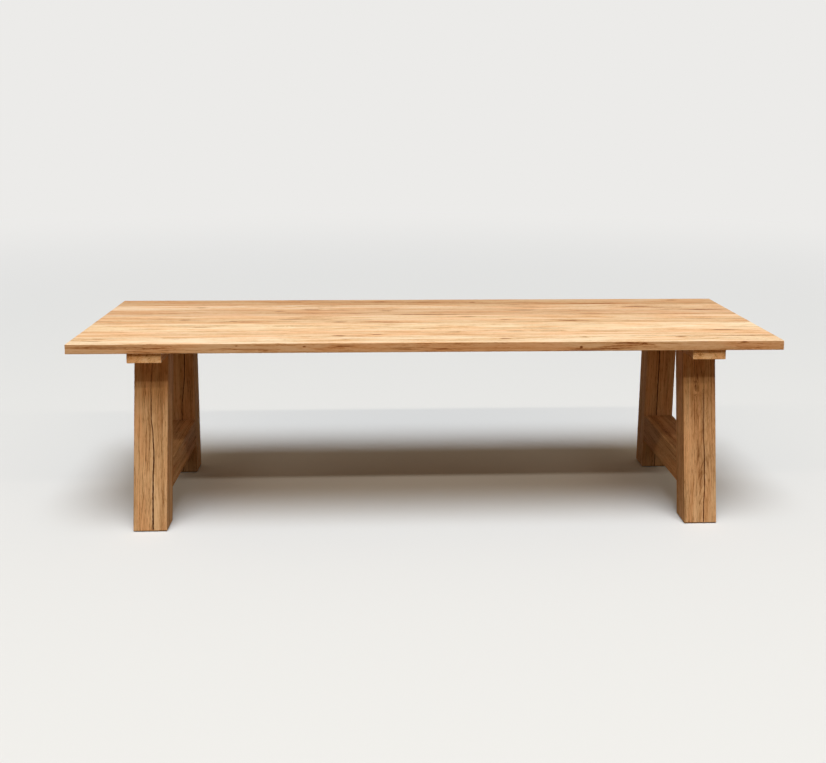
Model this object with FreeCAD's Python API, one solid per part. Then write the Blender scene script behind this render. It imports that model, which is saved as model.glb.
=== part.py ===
"""Trestle dining table in solid oak: a top of glued boards, bolted down on two trestles with splayed legs.

Millimetres. The origin is on the floor under the middle of the top. X runs along the table, Y from the
front edge to the back edge, and Z is up. A trestle is a leg at the front and one at the back, a low
rail between them and a cleat across their tops. The legs close on the rail sideways and the cleat then
drops on from above, so the rail's tenons are level and the legs' tenons are upright.
"""

import FreeCAD, Part

import os
from math import cos, radians, tan

Vec = FreeCAD.Vector

# Top
table_height = 770.0
top_length = 2800.0
top_thickness = 38.0
board_widths = (120.0, 130.0, 154.0, 186.0, 140.0, 120.0, 150.0)  # from the front edge to the back
tongue_thickness = 8.0
tongue_width = 23.0
tongue_end_setback = 90.0  # how far each loose tongue stops short of the top's ends

# Trestles
trestle_setback = 295.0  # from the end of the top to the middle of a trestle
foot_setback = 76.0  # from the edge of the top in to the outer face of a foot
leg_width = 132.0
leg_depth = 118.0  # measured square to the leg
leg_splay = 6.3  # degrees from upright
rail_height = 120.0
rail_clearance = 136.0  # from the floor to the underside of the rail
cleat_thickness = 40.0
cleat_setback = 14.0  # from the edge of the top in to the end of a cleat

# Mortise and tenon joints
tenon_thickness = 44.0
leg_tenon_height = 26.0
leg_tenon_shoulder = 20.0
rail_tenon_length = 70.0
rail_tenon_shoulder = 20.0
glue_gap = 0.15  # between the cheeks of a tenon and its mortise
mortise_end_gap = 2.0  # between the end of a tenon or tongue and the bottom of its mortise

# Bolts that hold the top to a cleat and let it swell across its width
bolt_diameter = 8.0
bolt_length = 45.0
bolt_head_across_flats = 13.0
bolt_head_height = 5.3
washer_diameter = 24.0
washer_thickness = 2.0
insert_diameter = 12.0
insert_length = 17.0
insert_end_gap = 3.0  # between the end of an insert and the bottom of its hole
thread_clearance = 0.1  # all round the plain shank that stands for the thread
bolt_hole_clearance = 0.5  # all round the bolt in its hole
washer_clearance = 1.0  # all round the washer in its recess
recess_depth = 12.0
slot_travel = 12.0
inner_bolt_offset = 140.0  # from the middle bolt to the next one on each side
outer_bolt_setback = 42.0  # from the end of a cleat to its last bolt

# Felt pads under the feet
pad_thickness = 3.0
pad_setback = 12.0  # from the faces of a foot in to the edges of its pad

# Eased edges
arris = 2.0
foot_arris = 3.0  # larger round the end grain of a foot, so that it does not splinter

# Sizes that follow from the ones above
top_width = sum(board_widths)
top_underside = table_height - top_thickness
cleat_underside = top_underside - cleat_thickness
cleat_half = top_width / 2 - cleat_setback
foot_half = top_width / 2 - foot_setback
leg_slope = tan(radians(leg_splay))
leg_run = leg_depth / cos(radians(leg_splay))  # depth of a leg measured level
rail_top = rail_clearance + rail_height
trestle_offset = top_length / 2 - trestle_setback
tongue_half_length = top_length / 2 - tongue_end_setback
outer_bolt_offset = cleat_half - outer_bolt_setback

# Names of the two places that a trestle and a leg can take, with their direction
SIDES = {"left": -1, "right": 1}
ENDS = {"front": -1, "back": 1}


def box(x, y, z):
    """A block between the two values given for each of X, Y and Z."""
    size = [high - low for low, high in (x, y, z)]
    return Part.makeBox(*size, Vec(x[0], y[0], z[0]))


def centred(width):
    """The two values half a width either side of zero."""
    return -width / 2, width / 2


def side_prism(outline, x):
    """A solid whose outline lies in Y and Z, drawn out along X between two values."""
    points = [Vec(x[0], y, z) for y, z in outline]
    face = Part.Face(Part.makePolygon(points + points[:1]))
    return face.extrude(Vec(x[1] - x[0], 0, 0))


def cylinder(diameter, z, x=0.0, y=0.0):
    """An upright cylinder between two heights."""
    return Part.makeCylinder(diameter / 2, z[1] - z[0], Vec(x, y, z[0]))


def slot(width, travel, y, z):
    """An upright slot along Y with round ends, or a round hole where the travel is zero."""
    if not travel:
        return cylinder(width, z, y=y)
    ends = [cylinder(width, z, y=y + shift) for shift in centred(travel)]
    middle = box(centred(width), (y - travel / 2, y + travel / 2), z)
    return middle.multiFuse(ends).removeSplitter()


def ease(solid, size, wanted):
    """Planes a small bevel on the straight edges that the test picks by their middle and direction."""
    picked = []
    for edge in solid.Edges:
        if wanted(edge.CenterOfMass, edge.tangentAt(edge.FirstParameter)):
            picked.append(edge)
    return solid.makeChamfer(size, picked)


def near(value, *targets):
    """Whether a value is one of the targets, to a hundredth of a millimetre."""
    return any(abs(value - target) < 0.01 for target in targets)


# Top


def board_edges():
    """The front and back edge of each board of the top, front board first."""
    edges = [-top_width / 2]
    for width in board_widths:
        edges.append(edges[-1] + width)
    return list(zip(edges, edges[1:]))


def outer_arris(middle, _direction):
    """Whether an edge of a board lies on the outside of the whole top."""
    planes = (
        near(middle.x, *centred(top_length)),
        near(middle.y, *centred(top_width)),
        near(middle.z, top_underside, table_height),
    )
    return sum(planes) >= 2


def tongue_space(joint, gap):
    """The room that a loose tongue takes at a joint between boards, with a gap at its long edges."""
    middle = top_underside + top_thickness / 2
    return box(
        (-tongue_half_length - gap, tongue_half_length + gap),
        (joint - tongue_width / 2 - gap, joint + tongue_width / 2 + gap),
        (middle - tongue_thickness / 2, middle + tongue_thickness / 2),
    )


def top_joints():
    """Where two boards meet."""
    return [back for _front, back in board_edges()[:-1]]


def top_board(front, back):
    """One board with eased outer edges, grooves for its tongues and holes for the inserts."""
    board = box(centred(top_length), (front, back), (top_underside, table_height))
    board = ease(board, arris, outer_arris)
    grooves = [tongue_space(joint, mortise_end_gap / 2) for joint in top_joints()]
    return board.cut(Part.makeCompound(grooves + insert_holes()))


def loose_tongues():
    """The tongues that line the boards up."""
    return Part.makeCompound([tongue_space(joint, 0.0) for joint in top_joints()])


# Trestle


def leg_outer(z):
    """Distance from the middle plane to the outer face of a leg at a height."""
    return foot_half - z * leg_slope


def leg_inner(z):
    """Distance from the middle plane to the inner face of a leg at a height."""
    return leg_outer(z) - leg_run


def leg_tenon(gap=0.0, end_gap=0.0):
    """The upright tenon on a front leg, or with gaps the mortise for it in the cleat."""
    outer = leg_outer(cleat_underside) - leg_tenon_shoulder + gap
    inner = leg_inner(cleat_underside) + leg_tenon_shoulder - gap
    top = cleat_underside + leg_tenon_height + end_gap
    return box(centred(tenon_thickness + 2 * gap), (-outer, -inner), (cleat_underside, top))


def rail_tenon(gap=0.0, end_gap=0.0):
    """The level tenon on the front end of a rail, or with gaps the mortise for it in a front leg."""
    low = rail_clearance + rail_tenon_shoulder - gap
    high = rail_top - rail_tenon_shoulder + gap
    reach = rail_tenon_length + end_gap
    outline = [
        (-leg_inner(low), low),
        (-leg_inner(low) - reach, low),
        (-leg_inner(high) - reach, high),
        (-leg_inner(high), high),
    ]
    return side_prism(outline, centred(tenon_thickness + 2 * gap))


def front_leg():
    """A leg that leans in towards the top, with a tenon for the cleat and a mortise for the rail."""
    foot, head = pad_thickness, cleat_underside
    outline = [
        (-leg_outer(foot), foot),
        (-leg_inner(foot), foot),
        (-leg_inner(head), head),
        (-leg_outer(head), head),
    ]
    leg = side_prism(outline, centred(leg_width))
    leg = ease(leg, foot_arris, lambda middle, _along: near(middle.z, foot))
    leg = ease(leg, arris, lambda _middle, along: abs(along.z) > cos(radians(2 * leg_splay)))
    leg = leg.fuse(leg_tenon()).removeSplitter()
    return leg.cut(rail_tenon(glue_gap, mortise_end_gap))


def felt_pad():
    """The pad glued under a front foot."""
    width = centred(leg_width - 2 * pad_setback)
    outer = leg_outer(pad_thickness) - pad_setback
    inner = leg_inner(pad_thickness) + pad_setback
    return box(width, (-outer, -inner), (0, pad_thickness))


def rail():
    """The low rail, whose shoulders slope to seat on the legs, with a tenon at each end."""
    outline = [
        (-leg_inner(rail_clearance), rail_clearance),
        (leg_inner(rail_clearance), rail_clearance),
        (leg_inner(rail_top), rail_top),
        (-leg_inner(rail_top), rail_top),
    ]
    body = side_prism(outline, centred(leg_width))
    body = ease(body, arris, lambda _middle, along: near(abs(along.y), 1.0))
    front = rail_tenon()
    return body.multiFuse([front, mirrored(front)]).removeSplitter()


def cleat():
    """The flat bearer across the legs, with a mortise for each leg and slotted holes for the bolts."""
    height = (cleat_underside, top_underside)
    body = box(centred(leg_width), (-cleat_half, cleat_half), height)
    body = body.makeChamfer(arris, body.Edges)
    mortise = leg_tenon(glue_gap, mortise_end_gap)
    spaces = [mortise, mirrored(mortise)]
    for y, travel in bolt_places():
        spaces.append(slot(bolt_diameter + 2 * bolt_hole_clearance, travel, y, height))
        recess = (cleat_underside, cleat_underside + recess_depth)
        spaces.append(slot(washer_diameter + 2 * washer_clearance, travel, y, recess))
    return body.cut(Part.makeCompound(spaces))


def mirrored(shape):
    """The same shape on the other side of the middle plane, front to back."""
    return shape.mirror(Vec(0, 0, 0), Vec(0, 1, 0))


# Bolts, washers and inserts


def bolt_places():
    """Where the bolts of a trestle stand along its cleat, and how far each may slide."""
    places = [(0.0, 0.0)]
    for offset in (inner_bolt_offset, outer_bolt_offset):
        places += [(-offset, slot_travel), (offset, slot_travel)]
    return places


def washer_seat():
    """Height of the face that the washers press on."""
    return cleat_underside + recess_depth


def bolt():
    """A hexagon-head bolt that points up, at the middle of a trestle."""
    under_head = washer_seat() - washer_thickness
    corner = bolt_head_across_flats / 2 / cos(radians(30))
    turns = [FreeCAD.Rotation(Vec(0, 0, 1), 60 * step) for step in range(6)]
    points = [Vec(0, 0, under_head) + turn.multVec(Vec(corner, 0, 0)) for turn in turns]
    head = Part.Face(Part.makePolygon(points + points[:1])).extrude(Vec(0, 0, -bolt_head_height))
    return head.fuse(cylinder(bolt_diameter, (under_head, under_head + bolt_length)))


def washer():
    """A wide washer in its recess, at the middle of a trestle."""
    height = (washer_seat() - washer_thickness, washer_seat())
    hole = cylinder(bolt_diameter + 2 * bolt_hole_clearance, height)
    return cylinder(washer_diameter, height).cut(hole)


def insert_hole():
    """The blind hole in the top for an insert, at the middle of a trestle."""
    return cylinder(insert_diameter, (top_underside, top_underside + insert_length + insert_end_gap))


def insert():
    """A threaded insert flush with the underside of the top, its thread left plain."""
    height = (top_underside, top_underside + insert_length)
    return cylinder(insert_diameter, height).cut(cylinder(bolt_diameter + 2 * thread_clearance, height))


def on_both_trestles(piece):
    """Copies of a small piece at every bolt of both trestles."""
    copies = []
    for side in SIDES.values():
        for y, _travel in bolt_places():
            copies.append(piece.translated(Vec(side * trestle_offset, y, 0)))
    return copies


def insert_holes():
    """The holes in the top that the inserts go into."""
    return on_both_trestles(insert_hole())


# The whole table


def leg_places():
    """The side and end that each leg stands at, with the direction of both from the middle."""
    return [(side, end, x, y) for side, x in SIDES.items() for end, y in ENDS.items()]


def at_leg(front_piece, x, y):
    """A piece of a front leg, mirrored for a back leg and moved to its trestle."""
    piece = mirrored(front_piece) if y > 0 else front_piece
    return piece.translated(Vec(x * trestle_offset, 0, 0))


def table_parts():
    """Every piece of the table by name."""
    pieces = {}
    for number, (front, back) in enumerate(board_edges(), start=1):
        pieces[f"top_board_{number}"] = top_board(front, back)
    pieces["loose_tongues"] = loose_tongues()
    for side, x in SIDES.items():
        for name, shape in (("rail", rail()), ("cleat", cleat())):
            pieces[f"{side}_{name}"] = shape.translated(Vec(x * trestle_offset, 0, 0))
    pads = []
    for side, end, x, y in leg_places():
        pieces[f"{end}_{side}_leg"] = at_leg(front_leg(), x, y)
        pads.append(at_leg(felt_pad(), x, y))
    pieces["felt_pads"] = Part.makeCompound(pads)
    small_pieces = {"top_bolts": bolt(), "bolt_washers": washer(), "threaded_inserts": insert()}
    for name, shape in small_pieces.items():
        pieces[name] = Part.makeCompound(on_both_trestles(shape))
    return pieces


os.makedirs("parts", exist_ok=True)
for part_name, part_shape in table_parts().items():
    part_shape.exportStep(f"parts/{part_name}.step")
    print(part_name, len(part_shape.Solids), part_shape.isValid(), round(part_shape.Volume))
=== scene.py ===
"""The looks of a trestle dining table in oiled oak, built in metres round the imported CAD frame.

X runs along the table, Y from the front edge to the back edge, and Z is up, as in the CAD model. Every
new piece takes its size and place from the CAD node that it stands for.
"""

from __future__ import annotations

import logging
import math
import random
from collections.abc import Callable, Iterable, Iterator, Mapping, Sequence
from contextlib import contextmanager
from dataclasses import dataclass
from enum import Enum
from typing import Any

import bmesh
import bpy
from mathutils import Matrix, Vector

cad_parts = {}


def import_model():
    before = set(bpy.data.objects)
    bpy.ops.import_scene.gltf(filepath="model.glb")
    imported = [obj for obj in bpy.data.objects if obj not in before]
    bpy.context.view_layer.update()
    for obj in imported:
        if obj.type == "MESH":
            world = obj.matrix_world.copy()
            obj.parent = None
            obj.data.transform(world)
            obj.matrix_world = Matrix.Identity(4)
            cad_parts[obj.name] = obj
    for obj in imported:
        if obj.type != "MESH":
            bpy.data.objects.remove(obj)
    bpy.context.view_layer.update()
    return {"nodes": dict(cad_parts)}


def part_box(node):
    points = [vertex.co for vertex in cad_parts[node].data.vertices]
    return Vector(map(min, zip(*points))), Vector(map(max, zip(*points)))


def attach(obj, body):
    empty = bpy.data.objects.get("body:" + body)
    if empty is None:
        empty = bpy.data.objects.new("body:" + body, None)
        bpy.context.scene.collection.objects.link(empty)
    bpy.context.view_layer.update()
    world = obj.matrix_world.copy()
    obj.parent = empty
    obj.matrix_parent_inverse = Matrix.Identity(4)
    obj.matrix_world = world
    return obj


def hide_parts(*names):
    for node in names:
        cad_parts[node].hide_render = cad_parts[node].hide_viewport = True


log = logging.getLogger("trestle_table")

MM = 0.001
BODY = "root"
X_AXIS, Y_AXIS, UP = Vector((1.0, 0.0, 0.0)), Vector((0.0, 1.0, 0.0)), Vector((0.0, 0.0, 1.0))
SMOOTH = {"interpolation_type": "SMOOTHSTEP"}
Shares = tuple[tuple[str, float], ...]
Pair = tuple[float, float]
Triple = tuple[float, float, float]
Stops = Sequence[tuple[float, str]]
# What a node's input takes: a value, a socket, or a node, which stands for its first output in use
Feed = Any

# Two places that are closer than this are the same
TOLERANCE = 0.01 * MM
# Cosine of the angle to an axis from which a face or an edge counts as along it
ALIGNED = 0.99
# Rounding of the long edges
EDGE_RADIUS = 2.5 * MM
# How far the legs lean from upright, in degrees
SPLAY = 6.3
# How far the bolts stand from the middle of a cleat, and from its ends
BOLT_SPACING = 140 * MM
BOLT_INSET = 42 * MM


# Colour and node trees


def linear(code: str) -> tuple[float, float, float, float]:
    """Turns an sRGB colour into the values that a colour socket takes.

    Args:
        code: the colour as "#RRGGBB".

    Returns:
        Linear red, green and blue, and an alpha of 1.
    """
    shares = [int(code[start : start + 2], 16) / 255 for start in (1, 3, 5)]
    red, green, blue = (s / 12.92 if s <= 0.04045 else ((s + 0.055) / 1.055) ** 2.4 for s in shares)
    return red, green, blue, 1.0


class Graph:
    """A node tree that grows by one node at a time."""

    def __init__(self, tree: bpy.types.NodeTree) -> None:
        """Starts from an empty tree."""
        self.tree = tree
        tree.nodes.clear()

    def add(self, kind: str, *given: Feed, stops: Stops = (), **settings: Any) -> bpy.types.Node:
        """Adds a node with its settings and feeds its inputs.

        Args:
            kind: the node's type, which a shader node gives without "ShaderNode".
            given: what the inputs take, in order. A dictionary gives inputs by name.
            stops: place and sRGB colour of each stop of a colour ramp, in order.
            settings: the node's own properties.

        Returns:
            The new node.
        """
        node = self.tree.nodes.new(kind if kind.startswith("NodeGroup") else f"ShaderNode{kind}")
        for name, value in settings.items():
            setattr(node, name, value)
        for _extra in stops[2:]:
            node.color_ramp.elements.new(0.5)
        for number, (place, code) in enumerate(stops):
            node.color_ramp.elements[number].position = place
            node.color_ramp.elements[number].color = linear(code)
        inputs: dict[int | str, Feed] = {}
        for number, value in enumerate(given):
            inputs.update(value if isinstance(value, dict) else {number: value})
        for key, value in inputs.items():
            named = [socket for socket in node.inputs if socket.enabled and socket.name == key]
            target = node.inputs[key] if isinstance(key, int) else named[0]
            if isinstance(value, bpy.types.Node):
                value = next(output for output in value.outputs if output.enabled)
            if isinstance(value, bpy.types.NodeSocket):
                self.tree.links.new(value, target)
            else:
                target.default_value = value
        return node


def new_material(name: str) -> tuple[bpy.types.Material, Graph]:
    """Makes a material with an empty node tree.

    Args:
        name: name of the material.

    Returns:
        The material and its graph.
    """
    material = bpy.data.materials.new(name)
    material.use_nodes = True
    return material, Graph(material.node_tree)


# Oak


class Sawing(Enum):
    """Where the pith of the log runs: millimetres from the middle of a piece, across and through it."""

    FLAT = (10.0, -105.0)
    RIFT = (80.0, -110.0)
    HEART = (6.0, 5.0)


@dataclass(frozen=True)
class Knot:
    """A branch that the saw cut through, or a streak that one left, with the grain flowing round it.

    Attributes:
        along: place along the piece, in millimetres from its middle.
        across: place across its main face, in millimetres from the middle.
        radius: half its width across the grain, in millimetres.
        stretch: how many times longer than wide it is.
        tail: how far the dark streak at its ends reaches, in millimetres.
        dark: how dark it is, from 0 to 1. A branch that the saw just missed has 0.
        bend: how strongly the grain flows round it, from 0 to 1.
        lift: how far the years bulge over it, in millimetres, which draws rings round it.
        through: place through the piece, in millimetres from its middle.
        reach: half its length through the piece, in millimetres.
    """

    along: float
    across: float
    radius: float = 8.0
    stretch: float = 1.8
    tail: float = 90.0
    dark: float = 0.8
    bend: float = 0.6
    lift: float = 6.0
    through: float = 0.0
    reach: float = 200.0


@dataclass(frozen=True)
class Timber:
    """How one piece lay in its log.

    Attributes:
        sawing: where the pith ran.
        shift: place along the log in metres, so that no two pieces share a figure.
        flip: whether the pith lay on the other side of the middle.
        tint: sRGB colour that the finish is multiplied by, for the tone of this piece.
        end_grain: sRGB colour that its sawn ends are multiplied by.
        fade: darkness that is added at the low edge and at the high edge of the main face. On board 4 it is a
            change of tone across the board; on the front board it is a painted highlight along the front edge
            of the top.
        contrast: how strongly its figure shows, where 1 is plain for the finish.
        knots: the knots of the piece.
    """

    sawing: Sawing
    shift: float
    flip: bool = False
    tint: str = "#FFFFFF"
    end_grain: str = "#C8A583"
    fade: Pair = (0.0, 0.0)
    contrast: float = 1.0
    knots: tuple[Knot, ...] = ()


@dataclass(frozen=True)
class GrainNoise:
    """Noise whose cells are drawn out along the grain.

    Attributes:
        name: what it stands for.
        length: length of a cell along the grain.
        width: width of a cell across the grain.
        detail: number of finer layers.
        low: value that counts as none of it.
        high: value that counts as all of it.
        weight: how much it darkens the wood by itself.
        roughness: how strong the finer layers are.
    """

    name: str
    length: float
    width: float
    detail: float
    low: float
    high: float
    weight: float = 0.0
    roughness: float = 0.55


@dataclass(frozen=True)
class OiledOak:
    """Planed and sanded European oak with a matt clear oil.

    The oil wets the open pores of the early wood, so each year shows as a fine brown line beside paler
    late wood. Rays flash paler where the saw ran through the heart, end grain drinks more oil and turns
    darker, and the surface stays matt.

    Attributes:
        name: start of the names of its materials.
        colours: pale late wood, the two middle tones, and brown early wood.
        heart: the heart of a knot.
        tones: darkness at which each of the four colours stands.
        flush: colour that the redder patches are multiplied by.
        edge_grain_and_shade: colour that the narrow edges are multiplied by, for the darker tone of edge
            grain and for painted shade on those narrow faces.
        turned: how squarely a face looks along the grain, or across it, where its tint sets in and is full.
        ring_width: one year of growth. Oak has 2 to 4 mm.
        taper: how fast the log grows thinner, which draws the arches of flat-sawn boards.
        season: how much early wood there is through the year. It starts sharply and fades.
        wander: length, width and swing of the ways in which the grain strays.
        weights: how much rings, slow growth and so on darken the wood. Rays are paler than the rest.
        halo_weight: how much the dark wood round a knot darkens it.
        thread_cell: length, width and thickness of a thread.
        ray_cell: length of a ray along the grain, its thickness as an angle, and its depth.
        outline_cell: size of the raggedness in the outline of a knot.
        fraying_cell: size of the raggedness in the outline of its tail.
        noises: the features that run with the grain.
        balance: darkness of plain wood.
        medium: darkness that stays when the figure of a piece is made stronger or weaker.
        fade_span: places across a piece between which its fade runs.
        roughness: roughness of pale wood and of brown wood.
        gloss: how much of the light its matt surface mirrors, as a specular level.
        relief: depth of the raised grain.
        relief_shares: what raises the surface and what sinks it.
        heart_share: how much the heart of a knot raises it, below zero because it sinks.
    """

    name: str
    colours: tuple[str, str, str, str]
    heart: str
    tones: tuple[float, float, float, float] = (0.0, 0.32, 0.62, 1.0)
    flush: str = "#FFF3EA"
    edge_grain_and_shade: str = "#FFFFFF"
    turned: Pair = (0.75, 0.95)
    ring_width: float = 4.2 * MM
    taper: float = 0.011
    season: Stops = (
        (0.0, "#FFFFFF"),
        (0.35, "#606060"),
        (0.75, "#000000"),
        (0.93, "#202020"),
        (1.0, "#FFFFFF"),
    )
    wander: tuple[Triple, ...] = ((1.3, 0.30, 0.034), (0.22, 0.045, 0.0045))
    weights: Shares = (("rings", 0.34), ("growth", 0.55), ("pores", 0.30), ("rays", -0.16), ("threads", 0.62))
    halo_weight: float = 0.9
    thread_cell: Triple = (1 / 9, 1 / 330, 1 / 330)
    ray_cell: Triple = (1 / 55, 1 / 70, 1 / 9)
    outline_cell: Triple = (1 / 33, 1 / 100, 1 / 100)
    fraying_cell: Triple = (1 / 9, 1 / 260, 1 / 260)
    noises: tuple[GrainNoise, ...] = (
        GrainNoise("bands", 1.4, 0.030, 2.0, 0.35, 0.65, 0.20),
        GrainNoise("streaks", 0.45, 0.009, 3.0, 0.35, 0.68, 0.22),
        GrainNoise("lines", 0.30, 0.005, 2.0, 0.60, 0.72, 0.22),
        GrainNoise("blotches", 0.13, 0.011, 4.0, 0.46, 0.72, 0.16),
        GrainNoise("flecks", 0.032, 0.005, 3.0, 0.50, 0.70, 0.24),
        GrainNoise("fibres", 0.16, 0.0026, 3.0, 0.30, 0.70, 0.20),
        GrainNoise("patches", 0.40, 0.10, 2.0, 0.35, 0.65, 0.14),
        # A pore is 0.3 by 5 mm, which is drawn 1.1 by 26 mm so that it still shows
        GrainNoise("vessels", 1 / 38, 1 / 900, 1.0, 0.57, 0.70, roughness=0.5),
        # Dark threads crowd together in bundles that are a finger wide and a forearm long
        GrainNoise("bundles", 1 / 3.2, 1 / 48, 4.0, 0.53, 0.68, roughness=0.6),
        GrainNoise("flush", 1 / 3.1, 1 / 17, 2.0, 0.42, 0.62, roughness=0.5),
    )
    balance: float = -0.42
    medium: float = 0.42
    fade_span: Pair = (-70 * MM, 70 * MM)
    roughness: Pair = (0.64, 0.80)
    gloss: float = 0.05
    relief: float = 0.35 * MM
    relief_shares: Shares = (("fibres", 0.35), ("pores", -0.6), ("rings", -0.25))
    heart_share: float = -0.5

    def straighten(self, g: Graph, place: Feed) -> Feed:
        """Lets the trunk wander by a few centimetres over its length, and ripple over a hand's width.

        Args:
            g: the graph of the figure.
            place: the point in the log.

        Returns:
            The point in a log of straight grain.
        """
        for length, width, swing in self.wander:
            cells = g.add("VectorMath", place, (length, width, width), operation="DIVIDE")
            drift = g.add("TexNoise", {"Vector": cells, "Scale": 1.0, "Detail": 1.5}).outputs["Color"]
            even = g.add("VectorMath", drift, (0.5, 0.5, 0.5), operation="SUBTRACT")
            place = g.add("VectorMath", even, (0.0, swing, swing), place, operation="MULTIPLY_ADD")
        return place

    def years(self, g: Graph, along: Feed, radius: Feed) -> dict[str, Feed]:
        """Counts the years outwards from the pith, some of them good and some darker than others.

        Args:
            g: the graph of the figure.
            along: place along the log.
            radius: distance from the pith.

        Returns:
            Masks of early wood, of the rings that it draws, and of slow growth.
        """
        thinned = g.add("Math", along, self.taper, radius, operation="MULTIPLY_ADD")
        evenly = g.add("Math", thinned, self.ring_width, operation="DIVIDE")
        good_years = g.add("TexNoise", {"W": evenly, "Scale": 0.23, "Detail": 1.0}, noise_dimensions="1D")
        years = g.add("Math", good_years, 3.0, evenly, operation="MULTIPLY_ADD")
        early = g.add("ValToRGB", g.add("Math", years, operation="FRACT"), stops=self.season)
        whole = g.add("Math", years, operation="FLOOR")
        vigour = g.add("TexWhiteNoise", {"W": whole}, noise_dimensions="1D")
        depth = g.add("MapRange", vigour, 0.0, 1.0, 0.30, 1.0)
        rings = g.add("Math", early, depth, operation="MULTIPLY")
        growth = g.add("TexNoise", {"W": years, "Scale": 0.11, "Detail": 3.0}, noise_dimensions="1D")
        return {"early": early, "rings": rings, "growth": growth}

    def grain(self, g: Graph, place: Feed, early: Feed) -> dict[str, Feed]:
        """Draws what runs with the grain.

        Args:
            g: the graph of the figure.
            place: the point in a log of straight grain.
            early: mask of early wood, where pores are wide open.

        Returns:
            A mask of each noise, of the pores, and of the threads that fill the bundles.
        """
        masks = {}
        for noise in self.noises:
            size = (noise.length, noise.width, noise.width)
            cells = g.add("VectorMath", place, size, operation="DIVIDE")
            layers = {"Detail": noise.detail, "Roughness": noise.roughness}
            cloud = g.add("TexNoise", {"Vector": cells, "Scale": 1.0, **layers})
            masks[noise.name] = g.add("MapRange", cloud, noise.low, noise.high, **SMOOTH)
        filled = g.add("MapRange", early, 0.0, 1.0, 0.25, 1.0)
        masks["pores"] = g.add("Math", masks["vessels"], filled, operation="MULTIPLY")
        cells = g.add("VectorMath", place, self.thread_cell, operation="DIVIDE")
        lines = g.add("TexNoise", {"Vector": cells, "Scale": 1.0, "Detail": 2.0})
        single = g.add("MapRange", lines, 0.42, 0.58, 0.2, 1.0)
        masks["threads"] = g.add("Math", masks["bundles"], single, operation="MULTIPLY")
        return masks

    def rays(self, g: Graph, place: Mapping[str, Feed], radius: Feed) -> Feed:
        """Draws the rays, which are thin sheets from the pith outwards.

        Args:
            g: the graph of the figure.
            place: X, Y and Z of the point in a log of straight grain.
            radius: distance from the pith.

        Returns:
            A mask with a fleck where a ray meets the face flat, and a dash where it meets it on edge.
        """
        bearing = g.add("Math", place["Y"], place["Z"], operation="ARCTAN2")
        sheet = g.add("CombineXYZ", place["X"], bearing, radius)
        thin = g.add("VectorMath", sheet, self.ray_cell, operation="DIVIDE")
        seen = g.add("TexNoise", {"Vector": thin, "Scale": 1.0, "Detail": 1.0})
        return g.add("MapRange", seen, 0.58, 0.68, **SMOOTH)

    def figure(self) -> bpy.types.NodeTree:
        """Builds the group that grows the figure of oak round the pith, which is its X axis.

        Returns:
            A group from a point in the log to the darkness, the relief and the redness of the wood.
        """
        tree = bpy.data.node_groups.new(f"{self.name}_figure", "ShaderNodeTree")
        tree.interface.new_socket("Log", in_out="INPUT", socket_type="NodeSocketVector")
        for result in ("Darkness", "Relief", "Flush"):
            tree.interface.new_socket(result, in_out="OUTPUT", socket_type="NodeSocketFloat")
        g = Graph(tree)
        place = self.straighten(g, g.add("NodeGroupInput"))
        parts = g.add("SeparateXYZ", place).outputs
        radius = g.add("VectorMath", g.add("CombineXYZ", 0.0, parts["Y"], parts["Z"]), operation="LENGTH")
        masks = self.years(g, parts["X"], radius)
        masks.update(self.grain(g, place, masks["early"]))
        masks["rays"] = self.rays(g, parts, radius)

        darkness, relief = self.balance, 0.5
        for name, weight in (*self.weights, *((noise.name, noise.weight) for noise in self.noises)):
            if weight:
                darkness = g.add("Math", masks[name], weight, darkness, operation="MULTIPLY_ADD")
        for name, share in self.relief_shares:
            relief = g.add("Math", masks[name], share, relief, operation="MULTIPLY_ADD")
        g.add("NodeGroupOutput", {"Darkness": darkness, "Relief": relief, "Flush": masks["flush"]})
        return tree

    def knot_group(self) -> bpy.types.NodeTree:
        """Builds the group for one knot, which takes and hands on the masks of the knots before it.

        Returns:
            A group that bends the place round the knot and adds the knot to the masks.
        """
        tree = bpy.data.node_groups.new(f"{self.name}_knot", "ShaderNodeTree")
        passed_on = {"Place": "Vector", "Heart": "Float", "Halo": "Float"}
        own = dict.fromkeys(("Centre", "Size", "Tail", "Pull", "Lift"), "Vector")
        for name, kind in {**passed_on, **own, "Dark": "Float"}.items():
            tree.interface.new_socket(name, in_out="INPUT", socket_type=f"NodeSocket{kind}")
        for name, kind in passed_on.items():
            tree.interface.new_socket(name, in_out="OUTPUT", socket_type=f"NodeSocket{kind}")
        g = Graph(tree)
        given = g.add("NodeGroupInput").outputs

        # Distance in radii of the knot and in lengths of its tail, each with a ragged outline
        offset = g.add("VectorMath", given["Place"], given["Centre"], operation="SUBTRACT")
        distances = []
        for size, cell in (("Size", self.outline_cell), ("Tail", self.fraying_cell)):
            scaled = g.add("VectorMath", offset, given[size], operation="DIVIDE")
            cells = g.add("VectorMath", given["Place"], cell, operation="DIVIDE")
            ragged = g.add("TexNoise", {"Vector": cells, "Scale": 1.0, "Detail": 2.0})
            distances.append((g.add("VectorMath", scaled, operation="LENGTH"), ragged))
        (even, ragged), (along, frayed) = distances
        smaller = g.add("Math", even, 0.5, operation="SUBTRACT")
        distance = g.add("Math", ragged, 1.0, smaller, operation="MULTIPLY_ADD")
        ragged_along = g.add("Math", frayed, 1.2, along, operation="MULTIPLY_ADD")
        nearness, inside, round_it, tail = (
            g.add("MapRange", value, start, end, most, 0.0, **SMOOTH)
            for value, start, end, most in (
                (even, 0.0, 3.6, 1.0),
                (distance, 0.6, 1.25, 1.0),
                (distance, 0.8, 2.8, 0.95),
                (ragged_along, 0.6, 1.5, 0.85),
            )
        )

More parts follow.
